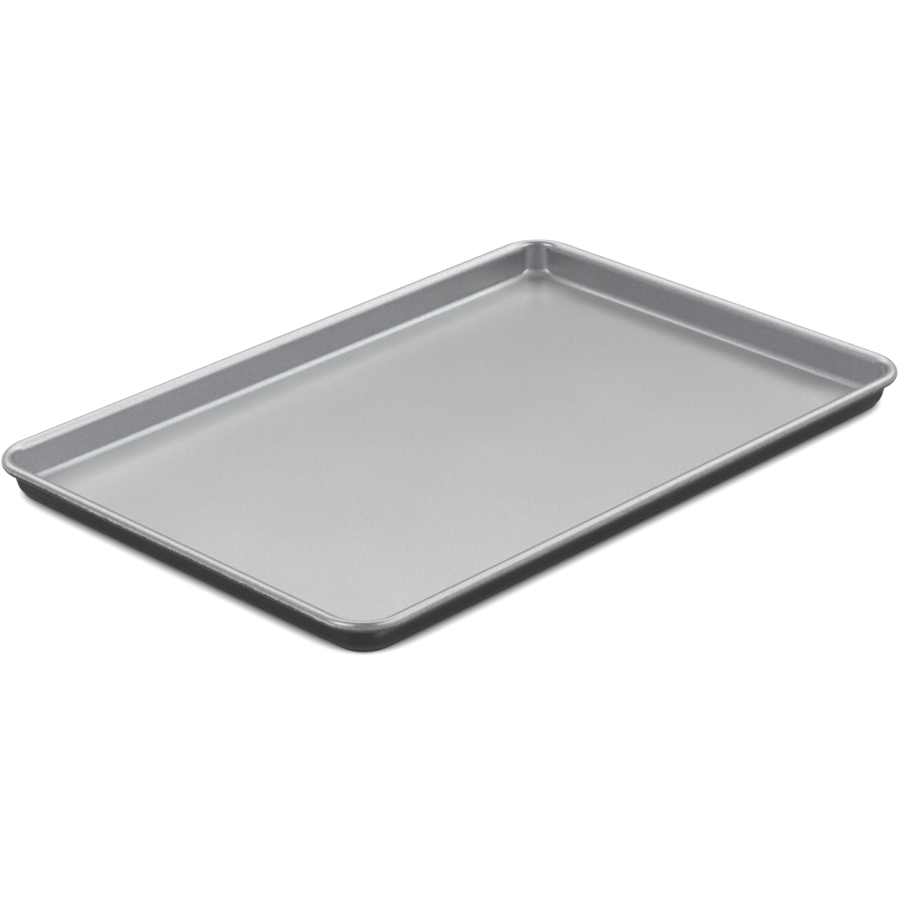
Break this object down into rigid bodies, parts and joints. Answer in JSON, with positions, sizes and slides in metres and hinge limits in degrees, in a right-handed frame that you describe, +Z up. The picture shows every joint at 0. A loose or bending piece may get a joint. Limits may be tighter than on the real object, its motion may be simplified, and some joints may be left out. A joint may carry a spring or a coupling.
{
  "type": "sheet pan",
  "caption": "Shallow rectangular baking sheet pan with rounded corners, flared walls and a rim rolled outwards over a stiffening wire.",
  "frame": {"origin": "middle of the underside, on the surface that the pan stands on", "axes": "+X along the long sides, +Y along the short sides, +Z up out of the open top"},
  "size_m": [0.4384, 0.2982, 0.0217],
  "materials": {
    "silver_nonstick_steel": "satin silver-grey nonstick coat with fine metallic flake inside and over the rim, dark grey coat outside",
    "galvanised_wire": "drawn and galvanised, dull"
  },
  "bodies": {
    "root": {"pan_body": "silver_nonstick_steel", "rim_wire": "galvanised_wire"}
  },
  "joints": []
}
